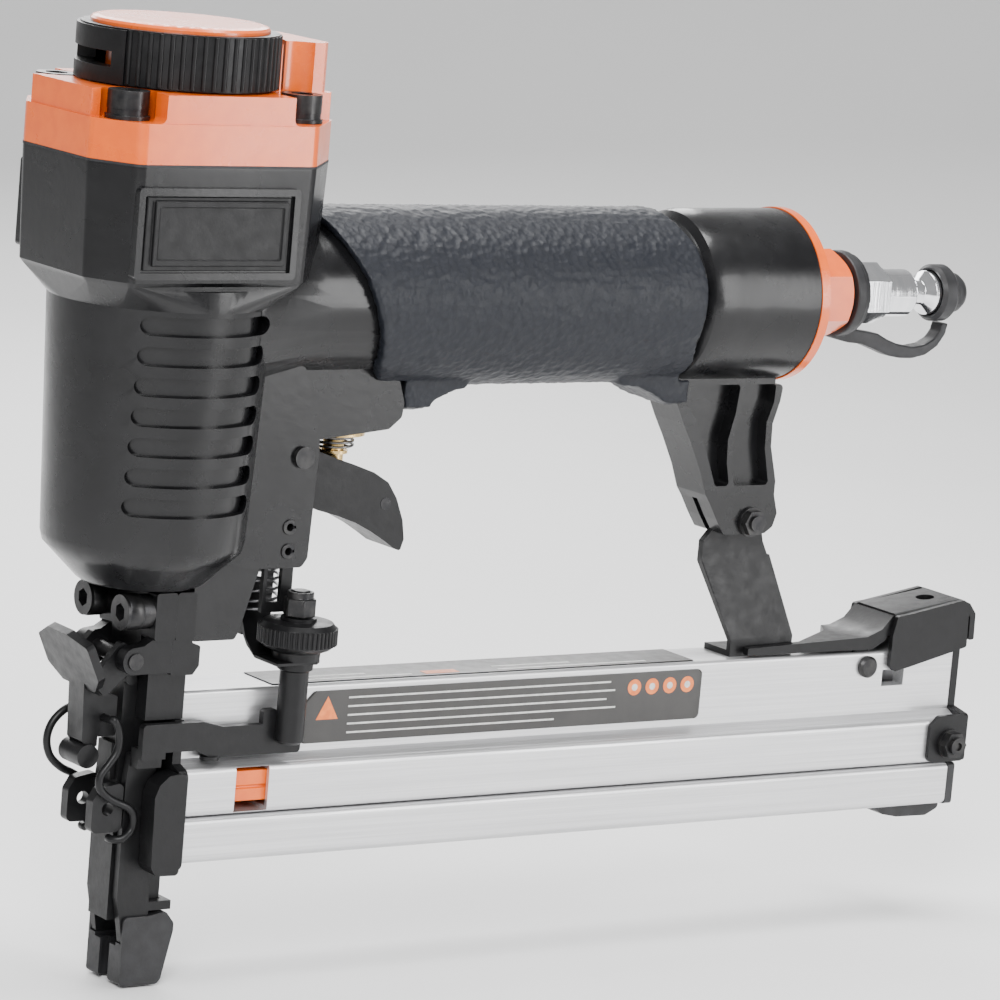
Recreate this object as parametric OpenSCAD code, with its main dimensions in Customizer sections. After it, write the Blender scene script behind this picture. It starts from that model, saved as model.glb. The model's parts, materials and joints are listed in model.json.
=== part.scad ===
// Pneumatic narrow-crown fastener gun: a handheld air tool with a top exhaust,
// a rubber-gripped handle, an aluminium magazine and a sprung work contact.
// Origin: on the driver axis, in the plane where the work contact meets the work.
// +Z runs up the driver axis, +X runs back along handle and magazine, -Y is the
// side that carries the depth wheel.

/* [Head] */
// Outer radius of the swivelling exhaust deflector
knob_r = 24.3; // [23.4:0.1:24.6]
// Number of grip ribs on the deflector
knob_ribs = 46; // [24:2:60]
// Height of the deflector disc above the deflector
disc_h = 1.6; // [1:0.1:1.8]
// Depth of the cooling grooves in the cylinder casing
groove_d = 1.6; // [0.8:0.1:1.8]
/* [Handle] */
// Outer radius of the rubber grip
grip_r = 22.3; // [21:0.1:22.6]
// Radius of the handle tube under the grip
tube_r = 19.3; // [18.5:0.1:19.3]
/* [Air inlet] */
// Radius of the plug's shoulder
plug_r = 6.2; // [5.5:0.1:6.5]
// Radius of the plug's neck
neck_r = 3.4; // [3:0.1:4]
/* [Work contact] */
// Height of the tip of the work contact guide above the work
tip_z = 15.6; // [15.4:0.1:16.4]
// Radius of the depth wheel
wheel_r = 9.8; // [8.5:0.1:10]
// Number of serrations round the depth wheel
wheel_teeth = 48; // [30:2:60]
/* [Magazine] */
// Half width of the upper magazine block
block_hw = 8; // [7.6:0.1:8.1]
// Half width of the two rails
rail_hw = 13; // [12.6:0.1:13.1]

/* [Hidden] */
$fn = 48;
hz = 167;            // height of the handle axis
seam = 201.6;        // top of the casting and its gasket
piv = [35.3, 129.8]; // trigger pivot, x and z
idl = [64.8, 116.4]; // idler pivot, x and z
vx = 52.3;           // trigger valve axis
wx = 37.7;           // depth wheel axis, x
wy = -13.2;          // depth wheel axis, y
lat = [-6.5, 81.3];  // front latch pivot, x and z
bl = [-9, 66];       // bail pivot, x and z
rl = [220.6, 68.6];  // rear latch pivot, x and z
SX = [-22.7, -22.7, 24.4, 24.4];   // cap screws
SY = [-16.8, 16.8, -16.8, 16.8];

module xcyl(y, z, r, x0, x1) translate([x0, y, z]) rotate([0, 90, 0]) cylinder(r = r, h = x1 - x0);
module ycyl(x, z, r, y0, y1) translate([x, y0, z]) rotate([-90, 0, 0]) cylinder(r = r, h = y1 - y0);
module zcyl(x, y, r, z0, z1) translate([x, y, z0]) cylinder(r = r, h = z1 - z0);
module bx(a, b) translate(a) cube(b - a);
// profile drawn in x and z, with thickness along y
module xz(y0, y1) translate([0, y1, 0]) rotate([90, 0, 0]) linear_extrude(y1 - y0) children();
// profile drawn in y and z, with thickness along x
module yz(x0, x1) translate([x0, 0, 0]) rotate([90, 0, 90]) linear_extrude(x1 - x0) children();
module soft(r) offset(r = r, $fn = 24) offset(delta = -r) children();
module both() { children(); mirror([0, 1, 0]) children(); }
function unit(v) = v / norm(v);
// round bar along points P, with a reference direction that no part of it follows
module bar(P, r, ref, n = 8) {
  m = len(P);
  T = [for (i = [0:m - 1]) unit(P[min(i + 1, m - 1)] - P[max(i - 1, 0)])];
  V = [for (i = [0:m - 1]) let (a = unit(cross(ref, T[i])), b = cross(T[i], a))
    for (k = [0:n - 1]) P[i] + r * (cos(360 * k / n) * a + sin(360 * k / n) * b)];
  F = concat([[for (k = [n - 1:-1:0]) k]], [[for (k = [0:n - 1]) (m - 1) * n + k]],
    [for (i = [0:m - 2]) for (k = [0:n - 1]) let (j = (k + 1) % n)
      [i * n + k, i * n + j, (i + 1) * n + j, (i + 1) * n + k]]);
  polyhedron(points = V, faces = [for (f = F) [for (q = [len(f) - 1:-1:0]) f[q]]], convexity = 10);
}
// compression spring about z with closed ends
module coil(x, y, R, w, z0, z1, turns, e = 1, n = 14) {
  N = turns * n;
  h = z1 - z0 - 2 * w;
  bar([for (i = [0:N]) let (t = i / N, u = t < 1 / turns ? e * t : (t > 1 - 1 / turns ? 1 - e * (1 - t)
        : e / turns + (t - 1 / turns) * (1 - 2 * e / turns) / (1 - 2 / turns)))
    [x + R * cos(360 * i / n), y + R * sin(360 * i / n), z0 + w + h * u]], w, [0, 0, 1], 7);
}
// socket screw lying along +x from x0: head, then shank
module screw_x(y, z, x0, hr, hh, sr, len) {
  difference() {
    union() {
      xcyl(y, z, hr, x0, x0 + hh);
      xcyl(y, z, sr, x0 + hh, x0 + hh + len);
    }
    translate([x0 - 0.1, y, z]) rotate([0, 90, 0]) cylinder(r = hr * 0.52, h = hh * 0.62, $fn = 6);
  }
}

// ---------------------------------------------------------------- casting
module head_outline(d = 0) offset(delta = -d) soft(3.5)
  polygon([[-31.5, -15.4], [-24.4, -27], [23.5, -27], [36.8, -12], [36.8, 12], [23.5, 27], [-24.4, 27], [-31.5, 15.4]]);
module casing(dr = 0) rotate_extrude($fn = 96) polygon([[0, 98.5], [14.5 - dr, 98.5], [15.6 - dr, 99.2],
  [23.9 - dr, 107.3], [24.5 - dr, 109.6], [27 - dr, 168], [27 - dr, 172], [0, 172]]);
module leg_profile() soft(1.2) polygon([[143, 152], [148, 144.8], [150.6, 141.2], [154, 134.6], [157, 129.4], [160.8, 122], [163.2, 115.8], [164.8, 113.6],
  [167.4, 109.3], [170.2, 105.2], [183.4, 105.2], [185.9, 106.9], [187, 110.4], [185.5, 115.3], [185.5, 119], [183, 128], [182.8, 134],
  [184.6, 140], [185.2, 144.3], [182.4, 144.3], [182.4, 152]]);
module housing() color([0.07, 0.07, 0.075]) difference() {
  union() {
    hull() {
      translate([0, 0, seam - 1.2]) linear_extrude(0.6) head_outline(0.2);
      translate([0, 0, 174]) linear_extrude(0.6) head_outline(1.2);
      translate([0, 0, 172.8]) linear_extrude(0.6) head_outline(2.2);
    }
    hull() {
      translate([0, 0, 172.8]) linear_extrude(0.6) head_outline(2.2);
      zcyl(0, 0, 27, 167, 168, $fn = 64);
    }
    casing();
    hull() {
      xcyl(0, hz, 23.2, 14, 15, $fn = 40);
      xcyl(0, hz, tube_r, 35, 36, $fn = 40);
    }
    xcyl(0, hz, tube_r, 20, 150);
    translate([148, 0, hz]) rotate([0, 90, 0]) rotate_extrude()
      polygon([[0, 0], [tube_r, 0], [21.2, 1.4], [21.8, 4], [22, 34.4], [0, 34.4]]);
    // trigger housing under the handle
    xz(-10, 10) soft(1.5) polygon([[14, 158], [22, 133.6], [43.5, 133.6], [61.5, 135.6], [65, 138.5], [65.4, 142], [60, 158]]);
    // trigger bracket: two plates and a floor between them
    both() xz(-13, -9.3) soft(1.6) polygon([[15, 104], [24, 102.8], [37.3, 102.8], [38.9, 105], [39.9, 131], [39.6, 137], [34, 152], [15, 152]]);
    bx([17, -9.5, 102.8], [39, 9.5, 105.2]);
    // bracket that carries the nose
    xz(-11.5, 11.5) soft(1) polygon([[8.7, 85.4], [20.8, 85.4], [21.9, 87.2], [27, 104], [27, 106], [8.7, 106]]);
    xz(-6.2, 6.2) leg_profile();
    // flat pad and thin raised frame round each badge
    both() bx([-23.4, -27, 176.1], [18.3, -25, 195.4]);
    both() translate([0, -27, 0]) xz(-0.9, 1.8) difference() {
      soft(1) polygon([[-24.4, 175.1], [19.3, 175.1], [19.3, 196.4], [-24.4, 196.4]]);
      polygon([[-22.8, 176.7], [17.7, 176.7], [17.7, 194.8], [-22.8, 194.8]]);
    }
  }
  // cylinder bore, upper air chamber and handle reservoir
  zcyl(0, 0, 19.6, 104, 197);
  zcyl(0, 0, 24.5, 182, seam);
  xcyl(0, hz, 15.4, 12, 186);
  bx([-2.2, -4, 90], [2.2, 4, 105]);
  // valve bore and trigger cavity
  zcyl(vx, 0, 7.5, 130, 154);
  bx([23.4, -9.3, 105.2], [45, 9.3, 133.6]);
  // slot in the floor for the safety link
  bx([29.1, -1.4, 100], [37.9, 1.4, 106]);
  bx([29.6, -8.6, 100], [41, -6.4, 105.9]);
  // screw holes
  for (i = [0:3]) zcyl(SX[i], SY[i], 2.95, 184, seam);
  both() xcyl(-8.8, 92.8, 2.5, 8, 20.2);
  ycyl(piv[0], piv[1], 2.2, -14, 14);
  ycyl(33.1, 112.8, 1.9, -14, 14);
  ycyl(33.1, 106.9, 1.9, -14, 14);
  ycyl(178.5, 108.4, 2.1, -10, 10);
  bx([160, -1.05, 100], [190, 1.05, 114]);
  // pockets either side of the leg web, with a curved rib left standing
  both() xz(-10, -2) soft(1) polygon([[153.4, 144.4], [153.6, 141], [158.4, 134.6], [162.6, 126], [166, 118], [170.5, 118],
    [169.1, 124], [168.8, 130], [170.5, 137], [171.3, 144.4]]);
  both() xz(-10, -2.6) soft(1) polygon([[172.9, 144.4], [172.1, 137], [170.4, 130], [170.7, 124], [172.1, 118], [183.2, 118],
    [181, 127.6], [180.8, 134.4], [182.6, 139.6], [182.8, 144.4]]);
  // cooling grooves on both flanks
  for (s = [-1, 1]) for (k = [0:6]) difference() {
    union() {
      bx([-15, s < 0 ? -30 : 8, 118 + 7.2 * k], [14.5, s < 0 ? -8 : 30, 122.6 + 7.2 * k]);
      ycyl(-15, 120.3 + 7.2 * k, 2.3, s < 0 ? -30 : 8, s < 0 ? -8 : 30);
      ycyl(14.5, 120.3 + 7.2 * k, 2.3, s < 0 ? -30 : 8, s < 0 ? -8 : 30);
    }
    casing(groove_d);
  }
}
module badges() color([0.12, 0.12, 0.13]) both() difference() {
  union() {
    bx([-20.1, -28.4, 178.4], [16, -27, 193.4]);
    bx([-22, -27.5, 177.2], [17, -27, 194.4]);
  }
  bx([-18.8, -29, 179.8], [14.7, -27.9, 192]);
}
// ---------------------------------------------------------------- head
module cylinder_cap() color([0.95, 0.42, 0.08]) difference() {
  union() {
    translate([0, 0, seam]) linear_extrude(9.4) head_outline(0.2);
    translate([0, 0, seam + 9.4]) linear_extrude(6.6) head_outline(0.7);
    // cowl behind the deflector
    translate([0, 0, 214]) linear_extrude(15.3) soft(2.4) polygon([[12, -19], [26, -19], [34.6, -11], [34.6, 11], [26, 19], [12, 19]]);
    // exhaust tower inside the deflector
    zcyl(0, 0, 17, 215, 226);
  }
  difference() {
    zcyl(0, 0, 25.2, 217.6, 232);
    zcyl(0, 0, 17, 217, 226);
  }
  // corner notches round the screws
  for (s = [-1, 1]) {
    xz(s < 0 ? -40 : 13.8, s < 0 ? -13.8 : 40) soft(1.5) polygon([[-50, 211], [-17.8, 211], [-17.4, 240], [-50, 240]]);
    xz(s < 0 ? -40 : 13, s < 0 ? -13 : 40) soft(1.5) polygon([[17, 211], [60, 211], [60, 240], [16.6, 240]]);
  }
  for (i = [0:3]) {
    zcyl(SX[i], SY[i], 3.3, 200, 214);
    zcyl(SX[i], SY[i], 6.4, 211, 240);
  }
  // head valve chamber and exhaust passage
  zcyl(0, 0, 20.6, 200, 213.5);
  for (a = [0:45:315]) rotate([0, 0, a]) zcyl(11, 0, 3, 212, 228);
  zcyl(0, 0, 2.5, 216, 228);
}
module cap_gasket() color([0.05, 0.05, 0.05]) difference() {
  translate([0, 0, seam - 0.6]) linear_extrude(0.6) head_outline(0.1);
  zcyl(0, 0, 24.5, 200, 203);
  for (i = [0:3]) zcyl(SX[i], SY[i], 3.3, 200, 203);
}
module cap_screws() color([0.1, 0.1, 0.11]) for (i = [0:3]) difference() {
  union() {
    zcyl(SX[i], SY[i], 4.9, 213.4, 217.7);
    zcyl(SX[i], SY[i], 2.9, 186, 213.4);
  }
  translate([SX[i], SY[i], 215.2]) cylinder(r = 2.9, h = 5, $fn = 6);
}
module cap_washers() color([0.13, 0.13, 0.14]) for (i = [0:3]) {
  difference() {
    zcyl(SX[i], SY[i], 5.3, 211, 212);
    zcyl(SX[i], SY[i], 3.2, 210, 213);
  }
  difference() {
    zcyl(SX[i], SY[i], 4.8, 212, 213.4);
    zcyl(SX[i], SY[i], 3.1, 211, 216);
    translate([SX[i], SY[i], 211]) rotate([0, 0, 40]) bx([2, -0.5, 0], [7, 0.5, 4]);
  }
}
module deflector_knob() color([0.12, 0.12, 0.13]) difference() {
  union() {
    zcyl(0, 0, knob_r - 0.8, 218, 231);
    // smooth face where the slot is
    intersection() {
      zcyl(0, 0, knob_r, 218, 230.6);
      linear_extrude(240) polygon([[0, 0], [-44, 42], [-60, 0], [-60, -32]]);
    }
    for (k = [0:knob_ribs - 1]) let (a = -150 + 283 * k / (knob_ribs - 1))
      rotate([0, 0, a]) zcyl(knob_r - 0.85, 0, 0.62, 218.3, 230.7, $fn = 16);
  }
  zcyl(0, 0, 19.8, 217, 226.5);
  zcyl(0, 0, 19.8, 229.4, 232);
  zcyl(0, 0, 2.6, 217, 232);
  zcyl(0, 0, 4.6, 227.75, 232);
  // slot
  intersection() {
    linear_extrude(240) polygon([[0, 0], [-60, 56], [-60, -21]]);
    difference() { zcyl(0, 0, 30, 221.8, 225.4); zcyl(0, 0, 19, 221, 226); }
  }
}
module deflector_disc() color([0.95, 0.42, 0.08]) union() {
  translate([0, 0, 231]) rotate_extrude($fn = 72) polygon([[0, 0], [21.2, 0], [21.2, 0.7], [20.7, 1.3], [19.6, disc_h], [0, disc_h]]);
  zcyl(0, 0, 19.7, 229.5, 231);
}
module deflector_screw() color([0.2, 0.2, 0.21]) difference() {
  union() { zcyl(0, 0, 4.4, 227.8, 229.3); zcyl(0, 0, 2.45, 217, 227.8); }
  translate([0, 0, 228.4]) cylinder(r = 2, h = 2, $fn = 6);
}
module head_valve() color([0.2, 0.2, 0.22]) difference() {
  union() { zcyl(0, 0, 20.5, 197.3, 206); zcyl(0, 0, 9, 196.1, 209.3); }
  difference() { zcyl(0, 0, 17.5, 200.5, 208); zcyl(0, 0, 9, 196, 212); }
  zcyl(0, 0, 6, 190, 212);
  difference() { zcyl(0, 0, 22, 201.5, 203.5); zcyl(0, 0, 19, 201, 204); }
}
module head_valve_spring() color([0.6, 0.6, 0.62]) coil(0, 0, 13.2, 0.8, 200.5, 213.5, 4, 0.6);
module cylinder_sleeve() color([0.7, 0.71, 0.73]) difference() {
  union() {
    zcyl(0, 0, 17.5, 104, 196);
    zcyl(0, 0, 19.55, 104, 109);
    zcyl(0, 0, 19.55, 150, 158);
    zcyl(0, 0, 19.55, 190, 196);
  }
  zcyl(0, 0, 15.5, 100, 200);
  for (z = [106.5, 154, 193]) difference() { zcyl(0, 0, 20, z - 0.9, z + 0.9); zcyl(0, 0, 18.2, z - 2, z + 2); }
  for (a = [0:60:300]) rotate([0, 0, a]) xcyl(0, 124, 1.5, 14, 19);
}
module sleeve_o_rings() color([0.04, 0.04, 0.04]) for (z = [106.5, 154, 193])
  translate([0, 0, z]) rotate_extrude($fn = 72) translate([18.9, 0]) circle(r = 0.68, $fn = 20);
module piston() color([0.75, 0.75, 0.77]) difference() {
  union() { zcyl(0, 0, 15.4, 185, 195.5); zcyl(0, 0, 5.5, 181.5, 185); }
  difference() { zcyl(0, 0, 16, 189, 191.4); zcyl(0, 0, 13.9, 188, 192); }
  zcyl(0, 0, 11, 193, 196);
  bx([-0.75, -3.1, 180], [0.75, 3.1, 190]);
}
module piston_ring() color([0.04, 0.04, 0.04]) translate([0, 0, 190.2]) rotate_extrude($fn = 72) translate([14.65, 0]) circle(r = 0.72, $fn = 20);
module driver_blade() color([0.6, 0.6, 0.62]) bx([-0.7, -3, 74], [0.7, 3, 190]);
module bumper() color([0.15, 0.12, 0.1]) difference() {
  union() { zcyl(0, 0, 15.3, 104, 108); zcyl(0, 0, 13, 108, 114); }
  bx([-1.8, -3.8, 100], [1.8, 3.8, 120]);
}
// ---------------------------------------------------------------- handle and inlet
module handle_grip() color([0.06, 0.065, 0.09]) difference() {
  union() {
    xcyl(0, hz, grip_r, 34, 149);
    intersection() {
      xcyl(0, hz, 28.2, 60, 158);
      xz(-10.5, 10.5) union() {
        soft(0.8) polygon([[62, 150], [62, 139.6], [68.6, 138.8], [72, 139.4], [74.6, 142.4], [79.6, 144.4], [84, 145.2], [84, 150]]);
        soft(0.8) polygon([[130, 150], [130, 145.2], [136, 144.6], [141, 142.6], [145.4, 140.2], [149, 138.9], [152, 139.4], [154.6, 141.6], [156, 145.6], [156, 150]]);
      }
    }
  }
  xcyl(0, hz, tube_r + 0.02, 20, 160);
  xz(-40, 40) polygon([[20, 200], [32, 200], [36.6, 189.4], [40.9, 181.7], [45.2, 174], [49.4, 163.1], [53.1, 151.8], [58, 145.5], [65.6, 142.4], [65.6, 120], [20, 120]]);
  xz(-40, 40) polygon([[170, 200], [140, 200], [142.4, 187.5], [145.3, 181.4], [146.6, 173], [146.6, 165.4], [145.6, 158], [147.8, 152], [152, 148], [152, 120], [170, 120]]);
  xz(-6.22, 6.22) offset(delta = 0.02) leg_profile();
  bx([20, -10.02, 120], [65.62, 10.02, 160]);
  translate([148, 0, hz]) rotate([0, 90, 0]) cylinder(r = 22.5, h = 40);
}
module end_cap() color([0.95, 0.42, 0.08]) difference() {
  union() {
    xcyl(0, hz, 22.3, 182.4, 185);
    xcyl(0, hz, 15.35, 174, 182.4);
    translate([185, 0, hz]) rotate([0, 90, 0]) rotate_extrude()
      polygon([[0, 0], [20.6, 0], [19.4, 0.7], [13.5, 1.8], [12, 2.6], [0, 2.6]]);
    intersection() {
      translate([186, 0, hz]) rotate([0, 90, 0]) cylinder(r = 11.6, h = 16.9, $fn = 6);
      translate([186, 0, hz]) rotate([0, 90, 0]) rotate_extrude() polygon([[0, 0], [12, 0], [12, 14.9], [9.4, 16.9], [0, 16.9]]);
    }
  }
  xcyl(0, hz, 4, 170, 210);
  xcyl(0, hz, 5.6, 193, 210);
  difference() { xcyl(0, hz, 16, 177, 179.2); xcyl(0, hz, 13.8, 176, 180); }
}
module end_cap_seal() color([0.04, 0.04, 0.04]) translate([178.1, 0, hz]) rotate([0, 90, 0]) rotate_extrude($fn = 72) translate([14.55, 0]) circle(r = 0.74, $fn = 20);
module air_plug() color([0.85, 0.86, 0.88]) difference() {
  union() {
    xcyl(0, hz, 5.55, 194, 208);
    translate([208, 0, hz]) rotate([0, 90, 0]) cylinder(r = 8.1, h = 9.2, $fn = 6);
    translate([217.2, 0, hz]) rotate([0, 90, 0]) rotate_extrude()
      polygon([[0, 0], [6.9, 0], [6.9, 0.8], [plug_r, 1.2], [plug_r, 9.4], [plug_r - 0.8, 10.4], [neck_r, 11.6],
        [neck_r, 14.6], [5.8, 16.6], [5.8, 19.6], [5, 20.4], [4.4, 24.2], [0, 24.2]]);
  }
  xcyl(0, hz, 2.4, 190, 245);
}
module dust_cap() color([0.05, 0.05, 0.05]) translate([235.3, 0, hz]) rotate([0, 90, 0]) rotate_extrude()
  polygon([[0, 6.7], [5.02, 6.7], [5.02, 3.6], [6.05, 3.2], [6.05, 0.2], [6.6, 0], [7.5, 0.9], [7.5, 4.2], [6.8, 5.2],
    [5.4, 5.8], [5.2, 8.4], [4.2, 9.9], [0, 10.3]]);
module cap_strap() color([0.05, 0.05, 0.05]) difference() {
  union() {
    xcyl(0, hz, 11.2, 203.2, 206.2);
    xcyl(0, hz, 10.6, 206.2, 207.7);
    // loop hanging below, from the ring round to the cap
    xz(-2.4, 2.4) polygon([[203.4, 162], [203.4, 155.4], [208.5, 154.2], [212.8, 153.8], [216.7, 152.6], [222.6, 150.5], [226.4, 149.9], [230.3, 149.8],
      [234.8, 150.7], [238.6, 153], [240.9, 156.2], [241.6, 159.1], [239.6, 159.1], [239.1, 157], [237.4, 154.9], [234.4, 153.4],
      [230.3, 152.8], [225.4, 153.6], [221.4, 155], [218, 156.6], [212, 157.4], [207.7, 158.6], [206.4, 162]]);
  }
  xcyl(0, hz, 5.6, 200, 212);
}
// ---------------------------------------------------------------- trigger group
module trigger() color([0.11, 0.11, 0.12]) difference() {
  xz(-6.3, 6.3) soft(0.7) polygon([[29.8, 131.4], [32.5, 133], [38, 132.4], [44.5, 129.7], [49.3, 128], [54.5, 126.4], [60.8, 124.2],
    [65.2, 121.6], [68, 117.6], [70.3, 112], [71.1, 107.3], [70.2, 104.4], [68.4, 105], [65.4, 107], [61.2, 109.5],
    [56.5, 111.8], [50.8, 113.8], [45.5, 115.2], [41.6, 116.6], [37.4, 121], [33, 125], [30, 127.4]]);
  // channel that holds the idler
  xz(-5, 5) polygon([[20, 140], [20, 115], [38, 115], [45.5, 117.4], [54, 115.4], [60, 113], [64, 111.4], [67, 111.4], [68.4, 115], [66, 120], [66, 140]]);
  ycyl(piv[0], piv[1], 2.25, -8, 8);
  ycyl(idl[0], idl[1], 1.5, -8, 8);
}
module trigger_pivot_pin() color([0.3, 0.3, 0.32]) union() {
  ycyl(piv[0], piv[1], 2.2, -13.6, 13.6);
  ycyl(piv[0], piv[1], 2.7, -14.2, -13);
}
module link_roll_pins() color([0.3, 0.3, 0.32]) for (z = [112.8, 106.9]) difference() {
  ycyl(33.1, z, 1.9, -13.4, 13.4);
  ycyl(33.1, z, 0.9, -14, 14);
  bx([34.2, -14, z - 0.3], [36, 14, z + 0.3]);
}
module idler_lever() color([0.45, 0.45, 0.47]) difference() {
  union() {
    xz(-4.5, 4.5) polygon([[31.5, 119], [36, 119.7], [45, 120], [56, 120], [61, 119.2], [66.2, 118], [66.2, 116.6], [62, 117],
      [56, 118.4], [45, 118.4], [36, 118], [31.5, 117.4]]);
    ycyl(idl[0], idl[1], 2.4, -4.5, 4.5);
  }
  ycyl(idl[0], idl[1], 1.55, -6, 6);
}
module idler_pin() color([0.4, 0.4, 0.42]) ycyl(idl[0], idl[1], 1.5, -6.4, 6.4);
module trigger_valve_body() color([0.75, 0.6, 0.3]) difference() {
  union() { zcyl(vx, 0, 7.45, 134.6, 152); zcyl(vx, 0, 7.45, 133.2, 134.6); }
  zcyl(vx, 0, 2.65, 130, 156);
  zcyl(vx, 0, 4.6, 138, 150);
  for (a = [0:90:270]) translate([vx, 0, 144]) rotate([0, 0, a]) xcyl(0, 0, 1.3, 3, 9);
  difference() { zcyl(vx, 0, 8, 147.4, 149.2); zcyl(vx, 0, 6.4, 147, 150); }
}
module valve_stem() color([0.8, 0.65, 0.3]) union() {
  zcyl(vx, 0, 2.6, 123.14, 149);
  zcyl(vx, 0, 3.6, 128.4, 129.2);
  difference() { zcyl(vx, 0, 4.1, 140, 142); zcyl(vx, 0, 2.5, 139, 143); }
}
module valve_spring() color([0.6, 0.6, 0.55]) coil(vx, 0, 4.7, 0.36, 129.2, 133.2, 3);
// ---------------------------------------------------------------- nose
module nose_front() color([0.1, 0.1, 0.11]) difference() {
  union() {
    xz(-13, 13) soft(0.8) polygon([[-2.4, 86.2], [3.4, 86.2], [3.4, 97.8], [-2.4, 97.8]]);
    bx([-2.4, -6.9, 78], [-0.9, 6.9, 98.5]);
    // lugs for the latch lever
    both() xz(-12, -8.5) polygon(concat([for (a = [90:15:255]) lat + 3.4 * [cos(a), sin(a)]],
      [[-4, 78.1], [3.4, 78.1], [3.4, 86.8], [-1.6, 86.8], [-4.4, 85]]));
    both() bx([-0.9, -9.4, 78.1], [3.4, -6.2, 86.6]);
  }
  bx([-0.9, -7.02, 70], [4, 7.02, 99]);
  both() xcyl(-8.8, 92.8, 2.7, -5, 5);
  both() ycyl(lat[0], lat[1], 2.02, -13, -8);
}
module nose_body() color([0.09, 0.09, 0.1]) difference() {
  union() {
    xz(-13, 13) soft(0.8) polygon([[3.4, 86.2], [8.7, 86.2], [8.7, 97.8], [3.4, 97.8]]);
    bx([0.9, -7, 77.5], [8.7, 7, 98.5]);
    // hooked lug on each side
    both() xz(-12, -7) soft(0.6) polygon([[3.4, 77.4], [9.6, 77.4], [11.2, 79.6], [11.2, 84.4], [9, 85.2], [8.4, 87], [3.4, 87]]);
    // guide column and tip
    bx([0.9, -9, 66], [9.6, 9, 78]);
    bx([0.9, -4.4, tip_z], [9.6, 4.4, 67]);
    both() bx([-0.9, -4.4, tip_z], [1, -3.3, 98]);
    both() bx([-0.9, -9, 66], [1, -3.3, 77.4]);
  }
  bx([-0.9, -3.3, 0], [0.9, 3.3, 99]);
  both() xcyl(-8.8, 92.8, 2.7, 0, 12);
  // window for the strip of fasteners
  bx([0, -3.3, 34], [12, 3.3, 69]);
}
module nose_screws() color([0.1, 0.1, 0.11]) both() {
  screw_x(-8.8, 92.8, -9.9, 4.25, 5, 2.48, 25);
  difference() { xcyl(-8.8, 92.8, 4.2, -4.9, -2.4); xcyl(-8.8, 92.8, 2.5, -6, -1); }
}
module nose_door() color([0.13, 0.13, 0.14]) union() {
  bx([-4.6, -4.4, tip_z + 0.4], [-0.95, 4.4, 75.5]);
  both() bx([-6.2, -5.2, 40], [-4.4, -3, 49.4]);
  bx([-6, -3.2, 50.5], [-4.6, 3.2, 59.5]);
  ycyl(-3.2, 75.6, 1.6, -5.4, 5.4);
  // side ears that the bail hooks under
  both() difference() {
    xz(-7.4, -4.4) soft(1.5) polygon([[-12.6, 38.6], [-4.3, 38.6], [-4.3, 50.4], [-5, 50.6], [-10.8, 49.6], [-12.6, 46.6]]);
    ycyl(-8.4, 44.4, 1.6, -8, -4);
  }
}
module latch_lever() color([0.16, 0.155, 0.15]) difference() {
  union() {
    // thumb paddle, leaning forward
    translate([-14.6, 0, 73.6]) rotate([0, -26.6, 0]) yz(0, 2.2) soft(1.2)
      polygon([[-7.6, -0.4], [7.6, -0.4], [12.2, 3.6], [11.6, 11.6], [5, 15], [-4, 14.8], [-12.4, 12.8], [-11.8, 3.6]]);
    // channel body
    xz(-3.6, 3.6) soft(0.5) polygon([[-14.6, 60.4], [-13, 59], [-10.4, 59], [-10.4, 61.4], [-5.6, 61.4], [-5.6, 71], [-9.6, 72.4], [-12, 75.6], [-15.2, 75.6]]);
    // curled lower end
    ycyl(-13.2, 56.9, 2.9, -4.6, 4.6);
    // side ears up to the pivot
    both() xz(-7.9, -5.7) soft(0.8) polygon([[-15, 75.4], [-11.8, 72], [-8, 75.6], [-3.6, 79], [-3.8, 83.2], [-8, 85.4], [-11, 82], [-14, 78]]);
    both() xz(-6.4, -3.4) polygon([[-15, 75], [-12, 72], [-10, 74], [-12.6, 77.4]]);
  }
  ycyl(lat[0], lat[1], 2.05, -10, 10);
  ycyl(bl[0], bl[1], 1.05, -10, 10);
  bx([-13, -2.2, 60.6], [-4, 2.2, 69.8]);
}
module latch_pin() color([0.3, 0.3, 0.31]) ycyl(lat[0], lat[1], 2, -12.4, 12.4);
module latch_bail() color([0.1, 0.1, 0.11]) union() {
  ycyl(bl[0], bl[1], 1.0, -9.6, 9.6, $fn = 16);
  // near arm
  bar([[-9.2, -8.8, 66.6], [-7.9, -8.8, 64.4], [-7.4, -8.8, 61.4], [-8, -8.8, 58.4], [-10.2, -8.8, 55.3], [-11.8, -8.8, 53.2], [-12.1, -8.8, 51], [-10.9, -8.8, 48.9],
    [-7.9, -8.8, 46.8], [-4.1, -8.8, 45.1], [-2.3, -8.8, 43.5], [-1.8, -8.8, 41.5], [-2.4, -8.8, 39], [-4.4, -8.8, 37.3], [-7, -8.8, 36.8]], 1.0, [0, 1, 0]);
  // far arm
  bar([[-9, 8.8, 66.4], [-12.6, 8.8, 65.4], [-15.8, 8.8, 62.4], [-17, 8.8, 58.4], [-15.8, 8.8, 54.2], [-12.6, 8.8, 51.2], [-9, 8.8, 49.4],
    [-5.4, 8.8, 47], [-3, 8.8, 44.6], [-2, 8.8, 42], [-2.4, 8.8, 39], [-4.4, 8.8, 37.3], [-7, 8.8, 36.8]], 1.0, [0, 1, 0]);
  both() ycyl(-6.6, 36.8, 1.0, -9.6, -5.2, $fn = 16);
}
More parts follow.
